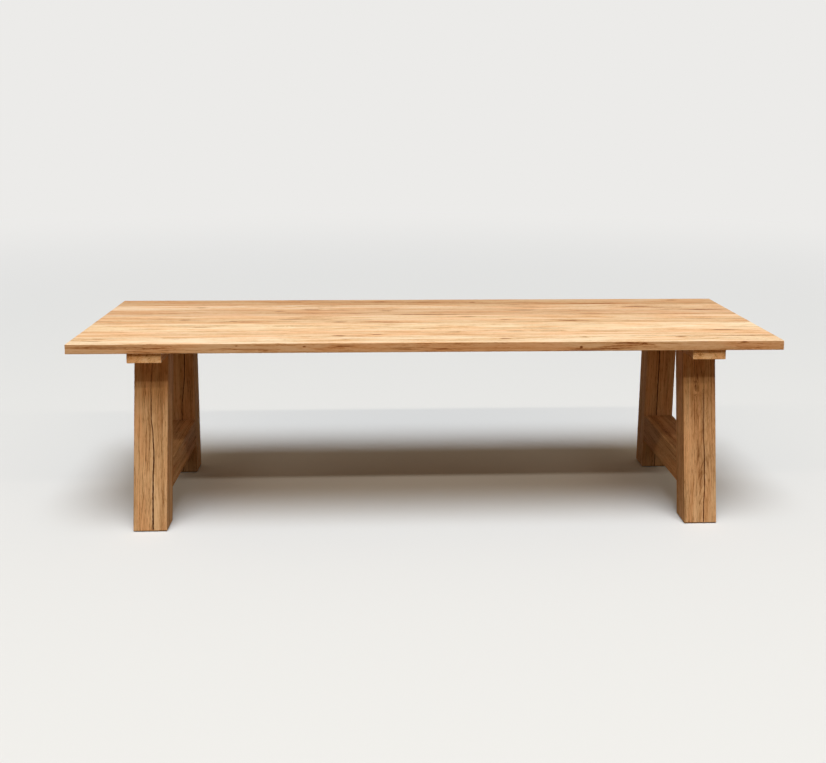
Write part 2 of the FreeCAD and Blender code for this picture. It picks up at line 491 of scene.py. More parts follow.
        # The grain flows round the knot, and the years bulge over it
        sideways = g.add("VectorMath", offset, given["Pull"], given["Lift"], operation="MULTIPLY_ADD")
        bent = g.add("VectorMath", sideways, {"Scale": nearness}, operation="SCALE")
        results = {"Place": g.add("VectorMath", given["Place"], bent, operation="SUBTRACT")}

        # The heart has rings of its own, and the halo runs out into a tail at both ends
        waves = g.add("Math", distance, 15.0, operation="MULTIPLY")
        own_rings = g.add("MapRange", g.add("Math", waves, operation="COSINE"), -1.0, 1.0, 0.5, 1.0)
        core = g.add("Math", inside, own_rings, operation="MULTIPLY")
        widest = g.add("Math", round_it, tail, operation="MAXIMUM")
        for name, mask in (("Heart", core), ("Halo", widest)):
            shaded = g.add("Math", mask, given["Dark"], operation="MULTIPLY")
            results[name] = g.add("Math", given[name], shaded, operation="MAXIMUM")
        g.add("NodeGroupOutput", results)
        return tree


class OakShop:
    """Dresses pieces in one oak finish, whose node groups it builds once."""

    def __init__(self, oak: OiledOak) -> None:
        """Builds the groups of the finish.

        Args:
            oak: the finish.
        """
        self.oak = oak
        self.figure = oak.figure()
        self.knot = oak.knot_group()

    def lead_past(self, g: Graph, place: Feed, knots: Iterable[Knot]) -> dict[str, Feed]:
        """Leads the grain past the knots of a piece.

        Args:
            g: the graph of the piece's material.
            place: the point on the piece.
            knots: the knots.

        Returns:
            The point without the bends of the grain, and the masks of the knots' hearts and halos.
        """
        so_far = {"Place": place, "Heart": 0.0, "Halo": 0.0}
        for knot in knots:
            wide, deep = knot.radius * MM, knot.reach * MM
            long = wide * knot.stretch
            shape = {
                "Centre": Vector((knot.along, knot.across, knot.through)) * MM,
                "Size": (long, wide, deep),
                "Tail": (long + knot.tail * MM, wide * 1.2, deep),
                "Pull": Y_AXIS * knot.bend,
                "Lift": UP * knot.lift * MM,
                "Dark": knot.dark,
            }
            outputs = g.add("Group", {**so_far, **shape}, node_tree=self.knot).outputs
            so_far = {mask: outputs[mask] for mask in so_far}
        return so_far

    def turned(self, g: Graph, normal: Feed, direction: Vector) -> Feed:
        """Adds a mask of the faces that look along a direction, either way.

        Args:
            g: the graph of the piece's material.
            normal: the normal of the face.
            direction: the direction.

        Returns:
            The mask.
        """
        facing = g.add("VectorMath", normal, direction, operation="DOT_PRODUCT")
        either_way = g.add("Math", facing, operation="ABSOLUTE")
        return g.add("MapRange", either_way, *self.oak.turned, **SMOOTH)

    def material(
        self, name: str, timber: Timber, along: Vector, across: Vector, middle: Vector
    ) -> bpy.types.Material:
        """Makes the material of one piece.

        Args:
            name: name of the piece.
            timber: how the piece lay in its log.
            along: direction of the grain.
            across: direction across the main face.
            middle: middle of the piece.

        Returns:
            The material, whose pattern lies in object coordinates.
        """
        oak = self.oak
        material, g = new_material(f"{oak.name}_{name}")
        turn = Matrix((along, across, along.cross(across)))
        coordinates = g.add("TexCoord").outputs
        set_on = {"Rotation": turn.to_euler(), "Location": -(turn @ middle)}
        on_piece = g.add("Mapping", {"Vector": coordinates["Object"], **set_on})
        place, heart, halo = self.lead_past(g, on_piece, timber.knots).values()
        side, depth = (distance * MM for distance in timber.sawing.value)
        pith = (timber.shift, side if timber.flip else -side, -depth)
        in_log = g.add("VectorMath", place, pith, operation="ADD")
        wood = g.add("Group", in_log, node_tree=self.figure).outputs

        stays = oak.medium * (1 - timber.contrast)
        darkness = g.add("Math", wood["Darkness"], timber.contrast, stays, operation="MULTIPLY_ADD")
        if timber.knots:
            darkness = g.add("Math", halo, oak.halo_weight, darkness, operation="MULTIPLY_ADD")
        # Darker or paler towards the edges of the main face, which on the front board paints a highlight
        # along its front edge
        if any(timber.fade):
            spot = g.add("SeparateXYZ", on_piece).outputs["Y"]
            fade = g.add("MapRange", spot, *oak.fade_span, *timber.fade)
            darkness = g.add("Math", darkness, fade, operation="ADD")

        colour = g.add("ValToRGB", darkness, stops=tuple(zip(oak.tones, oak.colours)))
        for share, tint in (
            (1.0, timber.tint),
            (wood["Flush"], oak.flush),
            (self.turned(g, coordinates["Normal"], along), timber.end_grain),
            # Narrow faces: the tone of edge grain, with painted shade
            (self.turned(g, coordinates["Normal"], across), oak.edge_grain_and_shade),
        ):
            mix = {"Factor": share, "A": colour, "B": linear(tint)}
            colour = g.add("Mix", mix, data_type="RGBA", blend_type="MULTIPLY")
        if timber.knots:
            colour = g.add("Mix", {"Factor": heart, "A": colour, "B": linear(oak.heart)}, data_type="RGBA")
        rough = g.add("MapRange", darkness, 0.0, 1.0, *oak.roughness)
        height = g.add("Math", heart, oak.heart_share, wood["Relief"], operation="MULTIPLY_ADD")
        bump = g.add("Bump", {"Strength": 0.8, "Distance": oak.relief, "Height": height})
        finish = {"Base Color": colour, "Roughness": rough, "Normal": bump}
        surface = g.add("BsdfPrincipled", {**finish, "Specular IOR Level": oak.gloss})
        g.add("OutputMaterial", surface)
        return material


# One oak in two copies: the top boards painted paler, a painted highlight for the strong light on the top,
# and the trestles painted browner, painted shade
LIT_TOP_OAK = OiledOak(
    name="oiled_oak_top_painted_light",
    colours=("#FDE8CB", "#F3D6AF", "#E0B98C", "#A07049"),
    heart="#5E300E",
    # Darker narrow faces: edge grain tone and painted shade
    edge_grain_and_shade="#DFC6AE",
)
SHADED_LEG_OAK = OiledOak(
    name="oiled_oak_trestle_painted_shade",
    colours=("#F0C99B", "#DCB182", "#BE9163", "#7F5432"),
    heart="#4A280E",
    ring_width=2.8 * MM,
    taper=0.007,
    wander=((1.3, 0.30, 0.022), (0.50, 0.08, 0.0022)),
    weights=(("rings", 0.34), ("growth", 0.55), ("pores", 0.30), ("rays", -0.16), ("threads", 0.18)),
)


@dataclass(frozen=True)
class MottledFinish:
    """A finish whose tone and relief follow fine noise.

    Attributes:
        name: name of its material.
        colours: its dark colour and its light colour.
        span: values of the noise where it is all dark and all light.
        mottle: size in X, Y and Z of a spot of its tone, with the number of finer layers.
        bump: strength and depth of its relief.
        sockets: what stays the same all over the shader.
        relief: size and finer layers of the relief, where they differ from the mottle.
        roughness: roughness of dark and of light parts, where it isn't the same all over.
        distortion: how curly the noise is.
    """

    name: str
    colours: tuple[str, str]
    span: Pair
    mottle: tuple[Triple, float]
    bump: Pair
    sockets: dict[str, float]
    relief: tuple[Triple, float] | None = None
    roughness: Pair | None = None
    distortion: float = 0.0

    def material(self) -> bpy.types.Material:
        """Makes the material.

        Returns:
            The material, whose pattern lies in object coordinates.
        """
        material, g = new_material(self.name)
        point = g.add("TexCoord").outputs["Object"]
        noises = []
        for cell, detail in (self.mottle, self.relief or self.mottle):
            cells = g.add("VectorMath", point, cell, operation="DIVIDE")
            layers = {"Detail": detail, "Distortion": self.distortion}
            noises.append(g.add("TexNoise", {"Vector": cells, "Scale": 1.0, **layers}))
        tone, relief = noises
        strength, depth = self.bump
        colour = g.add("ValToRGB", tone, stops=tuple(zip(self.span, self.colours)))
        bump = g.add("Bump", {"Strength": strength, "Distance": depth, "Height": relief})
        sockets = {"Base Color": colour, "Normal": bump, **self.sockets}
        if self.roughness:
            sockets["Roughness"] = g.add("MapRange", tone, 0.0, 1.0, *self.roughness)
        g.add("OutputMaterial", g.add("BsdfPrincipled", sockets))
        return material


# Walls of the drying checks, in a dark red-brown that paints the shade deep inside each split
SHADED_SPLIT_OAK = MottledFinish(
    name="shaded_split_oak",
    colours=("#5A2408", "#A8521C"),
    span=(0.3, 0.75),
    mottle=((1.6 * MM, 1.6 * MM, 60 * MM), 3.0),
    bump=(1.0, 0.8 * MM),
    sockets={"Roughness": 0.9, "Specular IOR Level": 0.15},
)
# Bright zinc plate on rolled steel: a cool grey metal with a faint mottle and fine drawing lines
ZINC_PLATE = MottledFinish(
    name="zinc_plated_steel",
    colours=("#A9AEB0", "#D5D8DA"),
    span=(0.35, 0.65),
    mottle=((2.5 * MM, 2.5 * MM, 2.5 * MM), 2.0),
    bump=(0.4, 0.05 * MM),
    sockets={"Metallic": 1.0},
    relief=((2.5 * MM, 2.5 * MM, 0.25 * MM), 1.0),
    roughness=(0.28, 0.46),
)
# Pressed wool felt: a dull mottled grey-brown with a soft fuzz of fibres
WOOL_FELT = MottledFinish(
    name="pressed_wool_felt",
    colours=("#50463B", "#857868"),
    span=(0.3, 0.7),
    mottle=((1.2 * MM, 1.2 * MM, 1.2 * MM), 4.0),
    bump=(1.0, 0.5 * MM),
    sockets={"Roughness": 0.95, "Sheen Weight": 0.3, "Specular IOR Level": 0.2},
    distortion=1.5,
)


@dataclass(frozen=True)
class Plywood:
    """Raw birch plywood: pale plies that turn darker where the end grain shows."""

    ply: float = 1.6 * MM
    fibre: Triple = (1 / 11, 1 / 650, 1 / 650)
    face: str = "#DDBE92"
    core: str = "#B98F5E"

    def material(self) -> bpy.types.Material:
        """Makes the material.

        Returns:
            The material, whose pattern lies in object coordinates.
        """
        material, g = new_material("birch_plywood")
        point = g.add("TexCoord").outputs["Object"]
        height = g.add("SeparateXYZ", point).outputs["Z"]
        share = g.add("Math", g.add("Math", height, 2 * self.ply, operation="DIVIDE"), operation="FRACT")
        cells = g.add("VectorMath", point, self.fibre, operation="DIVIDE")
        fibres = g.add("TexNoise", {"Vector": cells, "Scale": 1.0, "Detail": 3.0})
        half = g.add("Math", fibres, 0.5, operation="MULTIPLY")
        second = g.add("Math", share, 0.5, operation="GREATER_THAN")
        mixed = g.add("Math", second, 0.5, half, operation="MULTIPLY_ADD")
        colour = g.add("ValToRGB", mixed, stops=((0.15, self.face), (0.85, self.core)))
        bump = g.add("Bump", {"Strength": 0.5, "Distance": 0.2 * MM, "Height": mixed})
        surface = g.add("BsdfPrincipled", {"Base Color": colour, "Roughness": 0.75, "Normal": bump})
        g.add("OutputMaterial", surface)
        return material


# Modelling


def clear_selection() -> None:
    """Deselects every object, so that the next operator acts on its own piece alone."""
    bpy.ops.object.select_all(action="DESELECT")


def activate(piece: bpy.types.Object) -> None:
    """Makes a piece the only one selected, and the active one.

    Args:
        piece: the piece.
    """
    clear_selection()
    piece.select_set(True)
    bpy.context.view_layer.objects.active = piece


def settle(name: str) -> bpy.types.Object:
    """Names the active piece and moves its place, turn and scale into its mesh.

    Args:
        name: name of the piece.

    Returns:
        The piece, whose object sits at the origin.
    """
    piece = bpy.context.object
    piece.name = name
    piece.data.name = name
    bpy.ops.object.transform_apply(location=True, rotation=True, scale=True)
    return piece


def block(name: str, low: Vector, high: Vector) -> bpy.types.Object:
    """Adds a block between two corners.

    Args:
        name: name of the piece.
        low: lowest corner.
        high: highest corner.

    Returns:
        The block.
    """
    clear_selection()
    bpy.ops.mesh.primitive_cube_add(size=1.0, location=(low + high) / 2, scale=high - low)
    return settle(name)


def rod(name: str, diameter: float, low: Vector, height: float, sides: int) -> bpy.types.Object:
    """Adds an upright cylinder.

    Args:
        name: name of the piece.
        diameter: its diameter over the corners.
        low: middle of its lower end.
        height: its height.
        sides: how many sides it has.

    Returns:
        The cylinder, with a flat side towards each of X and Y where the sides allow.
    """
    clear_selection()
    bpy.ops.mesh.primitive_cylinder_add(
        vertices=sides,
        radius=diameter / 2,
        depth=height,
        location=low + UP * (height / 2),
        rotation=(0.0, 0.0, math.pi / sides),
    )
    return settle(name)


@contextmanager
def editing(piece: bpy.types.Object, mode: str) -> Iterator[None]:
    """Opens a piece in edit mode with nothing selected, and closes it at the end.

    Args:
        piece: the piece to shape.
        mode: what is picked: "VERT", "EDGE" or "FACE".
    """
    activate(piece)
    bpy.ops.object.mode_set(mode="EDIT")
    bpy.ops.mesh.select_mode(type=mode)
    yield
    bpy.ops.object.mode_set(mode="OBJECT")


def pick(piece: bpy.types.Object, kind: str, wanted: Callable[[Any], bool]) -> None:
    """Selects the parts of a mesh in edit mode that pass a test, and no others.

    Args:
        piece: the piece in edit mode.
        kind: "verts", "edges" or "faces".
        wanted: the test.
    """
    bpy.ops.mesh.select_all(action="DESELECT")
    mesh = bmesh.from_edit_mesh(piece.data)
    for part in getattr(mesh, kind):
        if wanted(part):
            part.select_set(True)
    bmesh.update_edit_mesh(piece.data)


def middle_of(edge: bmesh.types.BMEdge) -> Vector:
    """The middle of an edge."""
    return (edge.verts[0].co + edge.verts[1].co) / 2


def runs_along(edge: bmesh.types.BMEdge, axis: Vector, least: float = ALIGNED) -> bool:
    """Whether an edge runs along an axis, either way."""
    return abs((edge.verts[1].co - edge.verts[0].co).normalized() @ axis) > least


def looks_up(face: bmesh.types.BMFace) -> bool:
    """Whether a face looks straight up."""
    return face.normal.z > ALIGNED


def round_edges(
    piece: bpy.types.Object, radius: float, wanted: Callable[[Any], bool], segments: int = 3
) -> None:
    """Rounds the edges that pass a test.

    Args:
        piece: the piece to shape.
        radius: radius of the rounding.
        wanted: the test of an edge.
        segments: how many faces make the rounding.
    """
    with editing(piece, "EDGE"):
        pick(piece, "edges", wanted)
        bpy.ops.mesh.bevel(offset=radius, segments=segments, profile=0.5, affect="EDGES")


def carve(piece: bpy.types.Object, cutters: Iterable[bpy.types.Object]) -> None:
    """Cuts the shapes of other pieces out of a piece, and removes them.

    Args:
        piece: the piece that is cut.
        cutters: the shapes that are taken away, whose materials line the cuts.
    """
    for cutter in cutters:
        activate(piece)
        cut = piece.modifiers.new("cut", "BOOLEAN")
        cut.operation = "DIFFERENCE"
        cut.solver = "EXACT"
        cut.material_mode = "TRANSFER"
        cut.object = cutter
        bpy.ops.object.modifier_apply(modifier=cut.name)
        bpy.data.objects.remove(cutter, do_unlink=True)


def near(value: float, *targets: float) -> bool:
    """Whether a value is one of the targets, within the tolerance."""
    return any(abs(value - target) < TOLERANCE for target in targets)


def mount_piece(piece: bpy.types.Object, node: str) -> None:
    """Puts a finished piece in the place of its CAD node.

    Args:
        piece: the finished piece.
        node: the CAD node that it stands for.
    """
    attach(piece, BODY)
    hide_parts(node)
    log.info("%s stands for %s, with %d faces", piece.name, node, len(piece.data.polygons))


# Top


@dataclass
class TableTop:
    """Seven boards glued edge to edge, with rounded edges all round.

    Attributes:
        timbers: how each board lay in its log, front board first.
        shop: who dresses the oak.
        edge_radius: radius of the rounded outer edges.
    """

    timbers: tuple[Timber, ...]
    shop: OakShop
    edge_radius: float = EDGE_RADIUS

    def __post_init__(self) -> None:
        """Reads the outside of the whole top from the frame."""
        boxes = [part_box(self.node(number)) for number in range(1, len(self.timbers) + 1)]
        lows, highs = zip(*boxes)
        self.low = Vector(map(min, zip(*lows)))
        self.high = Vector(map(max, zip(*highs)))

    @staticmethod
    def node(number: int) -> str:
        """Name of the CAD node of a board."""
        return f"top_board_{number}"

    def on_outside(self, edge: bmesh.types.BMEdge) -> bool:
        """Whether an edge of a board lies on the outside of the whole top."""
        planes = [near(at, low, high) for at, low, high in zip(middle_of(edge), self.low, self.high)]
        return sum(planes) >= 2

    def board(self, number: int, timber: Timber) -> bpy.types.Object:
        """Builds and dresses one board.

        Args:
            number: number of the board, from the front.
            timber: how it lay in its log.

        Returns:
            The board.
        """
        low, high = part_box(self.node(number))
        piece = block(f"oak_board_{number}", low, high)
        round_edges(piece, self.edge_radius, self.on_outside)
        oak = self.shop.material(f"board_{number}", timber, X_AXIS, Y_AXIS, (low + high) / 2)
        piece.data.materials.append(oak)
        return piece

    def build(self) -> None:
        """Builds every board."""
        for number, timber in enumerate(self.timbers, start=1):
            mount_piece(self.board(number, timber), self.node(number))


# Trestles


class Side(Enum):
    """The two trestles, with their direction along X."""

    LEFT = -1
    RIGHT = 1


class End(Enum):
    """The two ends of a trestle, with their direction along Y."""

    FRONT = -1
    BACK = 1


def bolt_places(side: Side) -> list[Vector]:
    """Works out where the bolts of a trestle stand.

    Args:
        side: the trestle.

    Returns:
        Places on the floor under both bolts beside the middle, both bolts near the ends, and the middle one.
    """
    low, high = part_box(f"{side.name.lower()}_cleat")
    offsets = [way * offset for offset in (BOLT_SPACING, high.y - BOLT_INSET) for way in (-1, 1)]
    return [Vector(((low.x + high.x) / 2, offset, 0.0)) for offset in (*offsets, 0.0)]


@dataclass(frozen=True)
class DryingCheck:
    """A split that opened down one face of a leg as the heart of the timber dried.

    Attributes:
        facing: the end of the trestle that the face looks towards.
        course: where it runs, as millimetres across from the middle of the face and down from its head.
        widths: its width at the start and at the end of its course, in millimetres.
        depth: how far it reaches towards the pith, in millimetres.
        seed: seed of its raggedness.
    """

    facing: End
    course: tuple[Pair, ...]
    widths: Pair
    depth: float
    seed: int

    def span(self) -> Pair:
        """How far down from the head it starts and ends."""
        return self.course[0][1] * MM, self.course[-1][1] * MM

    def across(self, down: float) -> float:
        """Follows the course, which bends softly at its points.

        Args:
            down: distance down from the head, in millimetres.

        Returns:
            Place of the split across the face, in millimetres.
        """
        for (x0, z0), (x1, z1) in zip(self.course, self.course[1:]):
            if down <= z1:
                share = max(0.0, (down - z0) / (z1 - z0))
                return x0 + (x1 - x0) * share * share * (3 - 2 * share)
        return self.course[-1][0]


@dataclass
class Leg:
    """A leg that leans in towards the top.

    Attributes:
        side: its trestle.
        end: its end of the trestle.
        timber: how it lay in its log.
        checks: the splits in its faces.
        splay: how far it leans from upright, in degrees.
        edge_radius: radius of its long edges.
        foot_radius: radius round the end grain of its foot.
        check_step: distance between the places where the course of a check is shaped.
        raggedness: how far a check strays from its course.
        width_play: how much narrower and how much wider than planned it is in places.
    """

    side: Side
    end: End
    timber: Timber
    checks: tuple[DryingCheck, ...] = ()
    splay: float = SPLAY
    edge_radius: float = EDGE_RADIUS
    foot_radius: float = 3.0 * MM
    check_step: float = 9.0 * MM
    raggedness: float = 0.45 * MM
    width_play: Pair = (0.8, 1.2)

    def __post_init__(self) -> None:
        """Reads the place of the leg from the frame."""
        self.node = f"{self.end.name}_{self.side.name}_leg".lower()
        self.low, self.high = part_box(self.node)
        self.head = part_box(f"{self.side.name.lower()}_cleat")[0].z
        self.middle_x = (self.low.x + self.high.x) / 2
        self.lean = (self.head - self.low.z) * math.tan(math.radians(self.splay))
        self.depth = self.high.y - self.low.y - self.lean

    def upwards(self) -> Vector:
        """Direction of the grain, from the foot to the head."""
        angle = math.radians(self.splay)
        return Vector((0.0, -self.end.value * math.sin(angle), math.cos(angle)))

    def face(self, facing: End) -> float:
        """Place in Y of one of its sloping faces at the head of the leg."""
        inward = self.high.y if self.end is End.FRONT else self.low.y
        return inward if facing is not self.end else inward + self.end.value * self.depth

    def body(self) -> bpy.types.Object:
        """Builds the leg as a block on its foot whose head is then pushed over.

        Returns:
            The leg without its checks.
        """
        outer = self.low.y if self.end is End.FRONT else self.high.y
        inner = outer - self.end.value * self.depth
        low = Vector((self.low.x, min(outer, inner), self.low.z))
        high = Vector((self.high.x, max(outer, inner), self.head))
        piece = block(f"oak_{self.node}", low, high)
        with editing(piece, "FACE"):
            pick(piece, "faces", looks_up)
            bpy.ops.transform.translate(value=(0.0, -self.end.value * self.lean, 0.0))
        round_edges(piece, self.foot_radius, lambda edge: near(middle_of(edge).z, self.low.z))
        # The long edges lean by the splay, and the curve round the foot starts with a steeper lean
        upright = math.cos(math.radians(2 * self.splay))
        round_edges(piece, self.edge_radius, lambda edge: runs_along(edge, UP, upright))
        return piece

    def wedge(self, check: DryingCheck, steps: int) -> bpy.types.Object:
        """Builds a straight wedge whose edge points into the leg.

        Args:
            check: the split that it stands for.
            steps: how many steps its length has.

        Returns:
            The wedge, hanging from the origin. It is one millimetre wide, so that each width is a scale.
        """
        start, end = check.span()
        proud, half = 1.0 * MM, 0.5 * MM
        piece = block("check_cutter", Vector((-half, -proud, -end)), Vector((half, check.depth * MM, -start)))
        with editing(piece, "VERT"):
            pick(piece, "verts", lambda vert: vert.co.y > 0)
            bpy.ops.transform.resize(value=(0.0, 1.0, 1.0))
            bpy.ops.mesh.remove_doubles(threshold=TOLERANCE)
        with editing(piece, "EDGE"):
            pick(piece, "edges", lambda edge: runs_along(edge, UP))
            bpy.ops.mesh.subdivide(number_cuts=steps - 1)
        return piece

    def check_cutter(self, check: DryingCheck, wall: bpy.types.Material) -> bpy.types.Object:
        """Builds the shape that a check takes out of a face.

        Args:
            check: the split.
            wall: what its walls are made of.

        Returns:
            The ragged wedge in its place, a little proud of the face.
        """
        start, end = check.span()
        steps = round((end - start) / self.check_step)
        piece = self.wedge(check, steps)
        dice = random.Random(check.seed)
        first_width, last_width = check.widths
        with editing(piece, "VERT"):
            for step in range(steps + 1):
                share = step / steps
                level = -start - (end - start) * share
                even = first_width + (last_width - first_width) * share
                width = even * dice.uniform(*self.width_play)
                stray = dice.uniform(-self.raggedness, self.raggedness)
                pick(piece, "verts", lambda vert, level=level: abs(vert.co.z - level) < self.check_step / 3)
                bpy.ops.transform.resize(value=(width, 1.0, 1.0), center_override=(0.0, 0.0, level))
                bpy.ops.transform.translate(value=(check.across(-level / MM) * MM + stray, 0.0, 0.0))
        piece.data.materials.append(wall)
        lean = Matrix.Rotation(math.radians(self.splay) * self.end.value, 4, "X")
        about = Matrix.Rotation(math.pi if check.facing is End.BACK else 0.0, 4, "Z")
        head = Vector((self.middle_x, self.face(check.facing), self.head))
        activate(piece)
        piece.matrix_world = Matrix.Translation(head) @ lean @ about
        return settle("check_cutter")

    def build(self, shop: OakShop, wall: bpy.types.Material) -> None:
        """Builds and dresses the leg.

        Args:
            shop: who dresses the oak.
        """
        piece = self.body()
        middle = Vector((self.middle_x, (self.low.y + self.high.y) / 2, (self.low.z + self.head) / 2))
        oak = shop.material(self.node, self.timber, self.upwards(), X_AXIS, middle)
        piece.data.materials.append(oak)
        carve(piece, [self.check_cutter(check, wall) for check in self.checks])
        mount_piece(piece, self.node)


@dataclass
class CrossPieces:
    """The low rail and the cleat of one trestle.

    Attributes:
        side: the trestle.
        rail_timber: how the rail lay in its log.
        cleat_timber: how the cleat lay in its log.
        edge_radius: radius of the long edges.
        splay: how far the legs lean from upright, in degrees.
        tenon: length of the tenons that the rail has beyond its shoulders.
        slot_travel: how much longer than wide a slot is.
        hole_width: width of the hole or slot for a bolt.
        recess_width: width of the recess for a washer.
        recess_depth: depth of that recess.
        overcut: how far the shapes that cut them reach out of the wood.
    """

    side: Side
    rail_timber: Timber
    cleat_timber: Timber
    edge_radius: float = EDGE_RADIUS
    splay: float = SPLAY
    tenon: float = 70.0 * MM
    slot_travel: float = 12.0 * MM
    hole_width: float = 9.0 * MM
    recess_width: float = 26.0 * MM
    recess_depth: float = 12.0 * MM
    overcut: float = 5.0 * MM

    def __post_init__(self) -> None:
        """Names the nodes of the trestle."""
        self.rail_node = f"{self.side.name.lower()}_rail"
        self.cleat_node = f"{self.side.name.lower()}_cleat"

    def rail(self, oak: bpy.types.Material) -> bpy.types.Object:
        """Builds the rail, whose ends slope to seat on the legs.

        Args:
            oak: what it is made of.

        Returns:
            The rail.
        """
        low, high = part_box(self.rail_node)
        slope = math.tan(math.radians(self.splay)) * (high.z - low.z)
        shoulder = high.y - self.tenon
        corners = (Vector((low.x, -shoulder, low.z)), Vector((high.x, shoulder, high.z)))
        piece = block("oak_" + self.rail_node, *corners)
        piece.data.materials.append(oak)
        with editing(piece, "FACE"):
            pick(piece, "faces", looks_up)
            bpy.ops.transform.resize(value=(1.0, (shoulder - slope) / shoulder, 1.0))
        round_edges(piece, self.edge_radius, lambda edge: runs_along(edge, Y_AXIS))
        return piece

    def slot_cutter(self, width: float, travel: float, low: Vector, height: float) -> bpy.types.Object:
        """Builds the shape of a slot with round ends.

        Args:
            width: width of the slot.
            travel: how much longer than wide it is, along Y.
            low: middle of its lower end.
            height: its height.

        Returns:
            The shape.
        """
        piece = rod("slot_cutter", width, low, height, sides=24)
        with editing(piece, "VERT"):
            for direction in (-1, 1):
                pick(piece, "verts", lambda vert, way=direction: way * (vert.co.y - low.y) > 0)
                bpy.ops.transform.translate(value=(0.0, direction * travel / 2, 0.0))
        return piece

    def cleat(self, oak: bpy.types.Material) -> bpy.types.Object:
        """Builds the cleat, with a counterbored slot for each bolt.

        Args:
            oak: what it is made of.

        Returns:
            The cleat.
        """
        low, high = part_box(self.cleat_node)
        piece = block("oak_" + self.cleat_node, low, high)
        piece.data.materials.append(oak)
        round_edges(piece, self.edge_radius, lambda edge: True)
        cutters = []
        for place in bolt_places(self.side):
            travel = self.slot_travel if place.y else 0.0
            start = place + UP * (low.z - self.overcut)
            recess, through = self.recess_depth + self.overcut, high.z - low.z + 2 * self.overcut
            cutters.append(self.slot_cutter(self.recess_width, travel, start, recess))
            cutters.append(self.slot_cutter(self.hole_width, travel, start, through))
        for cutter in cutters:
            cutter.data.materials.append(oak)
        carve(piece, cutters)
        return piece

    def build(self, rail_shop: OakShop, cleat_shop: OakShop) -> None:
        """Builds and dresses both pieces.

        Args:
            rail_shop: who dresses the rail.
            cleat_shop: who dresses the cleat, which is sawn from the same boards as the top.
        """
        for make, shop, node, timber in (
            (self.rail, rail_shop, self.rail_node, self.rail_timber),
            (self.cleat, cleat_shop, self.cleat_node, self.cleat_timber),
        ):
            low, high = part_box(node)
            piece = make(shop.material(node, timber, Y_AXIS, X_AXIS, (low + high) / 2))
            mount_piece(piece, node)


# Bolts and washers


@dataclass
class Fixings:
    """The hexagon-head bolts and wide washers that hold the top down.

    Attributes:
        across_flats: width of a bolt head over its flats.
        head_height: height of a bolt head.
        shank: diameter of a bolt.
        length: length of a bolt under its head.
        washer_width: diameter of a washer.
        washer_hole: diameter of its hole.
        bolt_radius: rounding of a bolt's ends.
        washer_radius: rounding of a washer's edges.
    """

    across_flats: float = 13.0 * MM
    head_height: float = 5.3 * MM
    shank: float = 8.0 * MM
    length: float = 45.0 * MM
    washer_width: float = 24.0 * MM
    washer_hole: float = 9.0 * MM
    bolt_radius: float = 0.8 * MM
    washer_radius: float = 0.3 * MM

    def bolt(self, under_head: Vector) -> bpy.types.Object:
        """Builds a bolt that points up.

        Args:
            under_head: middle of the face of its head that seats on the washer.

        Returns:
            The bolt.
        """
        corners = self.across_flats / math.cos(math.radians(30))
        foot, tip = under_head - UP * self.head_height, under_head.z + self.length
        head = rod("bolt", corners, foot, self.head_height, sides=6)
        round_edges(head, self.bolt_radius, lambda edge: near(middle_of(edge).z, foot.z), segments=2)
        shank = rod("bolt_shank", self.shank, under_head, self.length, sides=24)
        round_edges(shank, self.bolt_radius, lambda edge: near(middle_of(edge).z, tip), segments=1)
        activate(head)
        shank.select_set(True)
        bpy.ops.object.join()
        return head

    def washer(self, low: Vector, thickness: float) -> bpy.types.Object:
        """Builds a washer as a disc whose faces are inset and bridged into a hole.

        Args:
            low: middle of its lower face.
            thickness: its thickness.

        Returns:
            The washer.
        """
        piece = rod("washer", self.washer_width, low, thickness, sides=48)
        round_edges(piece, self.washer_radius, lambda edge: not runs_along(edge, UP), segments=2)
        ring = (self.washer_width - self.washer_hole) / 2
        with editing(piece, "FACE"):
            pick(piece, "faces", lambda face: abs(face.normal.z) > ALIGNED)
            bpy.ops.mesh.inset(thickness=ring - self.washer_radius)
            bpy.ops.mesh.bridge_edge_loops()
        return piece

    def group(self, name: str, first: bpy.types.Object, shifts: Iterable[Vector]) -> bpy.types.Object:
        """Copies a small piece and joins the copies.

        Args:
            name: name of the joined piece.
            first: the piece at its first place.
            shifts: how far each further copy is moved.

        Returns:
            All the copies as one piece.
        """
        activate(first)
        for shift in shifts:
            copy = first.copy()
            copy.data = first.data.copy()
            copy.location = shift
            bpy.context.collection.objects.link(copy)
            copy.select_set(True)
        bpy.ops.object.join()
        bpy.ops.object.shade_smooth_by_angle(angle=math.radians(30))
        return settle(name)

    def build(self, steel: bpy.types.Material) -> None:
        """Builds and dresses every bolt and washer.

        Args:
            steel: what they are made of.
        """
        lower, upper = (corner.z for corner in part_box("bolt_washers"))
        first, *others = [place for side in Side for place in bolt_places(side)]
        shifts = [place - first for place in others]
        seat = first + UP * lower
        bolts = self.group("hexagon_bolts", self.bolt(seat), shifts)
        discs = self.group("wide_washers", self.washer(seat, upper - lower), shifts)
        for piece, node in ((bolts, "top_bolts"), (discs, "bolt_washers")):
            piece.data.materials.append(steel)
            mount_piece(piece, node)


# Studio


@dataclass(frozen=True, kw_only=True)
class Lamp:
    """A lamp in front of the table.

    Attributes:
        name: name of the lamp.
        elevation: how high it stands over what it looks at, in degrees.
        distance: how far it is from there.
        level: how bright it makes a white face that looks straight at it.
        colour: colour of its light.
    """

    name: str
    elevation: float
    distance: float
    level: float
    colour: str

    def hang(self, kind: str, aim: Vector) -> bpy.types.Object:
        """Adds the lamp.

        Args:
            kind: its type, "SUN" or "AREA".
            aim: the point that it looks at.

        Returns:
            The lamp.
        """
        clear_selection()
        rise = math.radians(self.elevation)
        place = (aim.x, aim.y - self.distance * math.cos(rise), aim.z + self.distance * math.sin(rise))
        bpy.ops.object.light_add(type=kind, rotation=(math.pi / 2 - rise, 0.0, 0.0), location=place)
        lamp = bpy.context.object
        lamp.name = self.name
        lamp.data.color = linear(self.colour)[:3]
        return lamp


